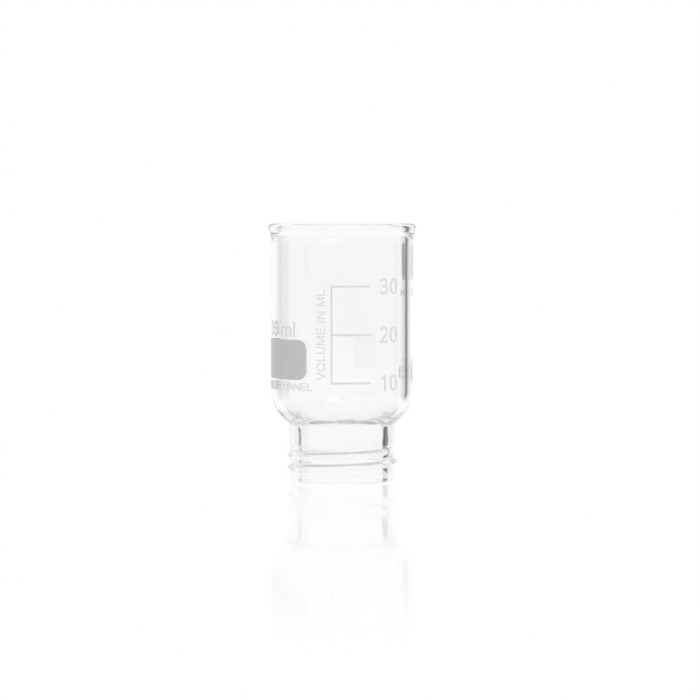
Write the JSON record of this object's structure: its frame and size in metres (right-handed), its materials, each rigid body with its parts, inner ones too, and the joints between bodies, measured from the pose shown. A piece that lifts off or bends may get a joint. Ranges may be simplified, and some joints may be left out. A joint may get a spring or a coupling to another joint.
{
  "type": "screw thread filter funnel",
  "caption": "Clear glass filter funnel cup, open at both ends, with a beaded rim, an enamel volume scale and a neck with an outside screw thread.",
  "frame": {"origin": "centre of the neck's end face, on which the cup stands", "axes": "+Z is the cup's axis, up to the rim; the front, with the volume scale, faces -Y"},
  "size_m": [0.0372, 0.0372, 0.065],
  "materials": {
    "glass": "clear borosilicate glass, fire polished",
    "enamel": "white fired enamel print, satin"
  },
  "bodies": {
    "root": {"barrel": "glass", "threaded_neck": "glass", "wall_pip": "glass", "scale_line": "enamel", "tick_10": "enamel", "tick_20": "enamel", "tick_30": "enamel", "numeral_10": "enamel", "numeral_20": "enamel", "numeral_30": "enamel", "scale_caption": "enamel", "label_panel": "enamel", "capacity_mark": "enamel", "label_caption": "enamel", "rear_panel": "enamel", "rear_capacity_mark": "enamel"}
  },
  "joints": []
}
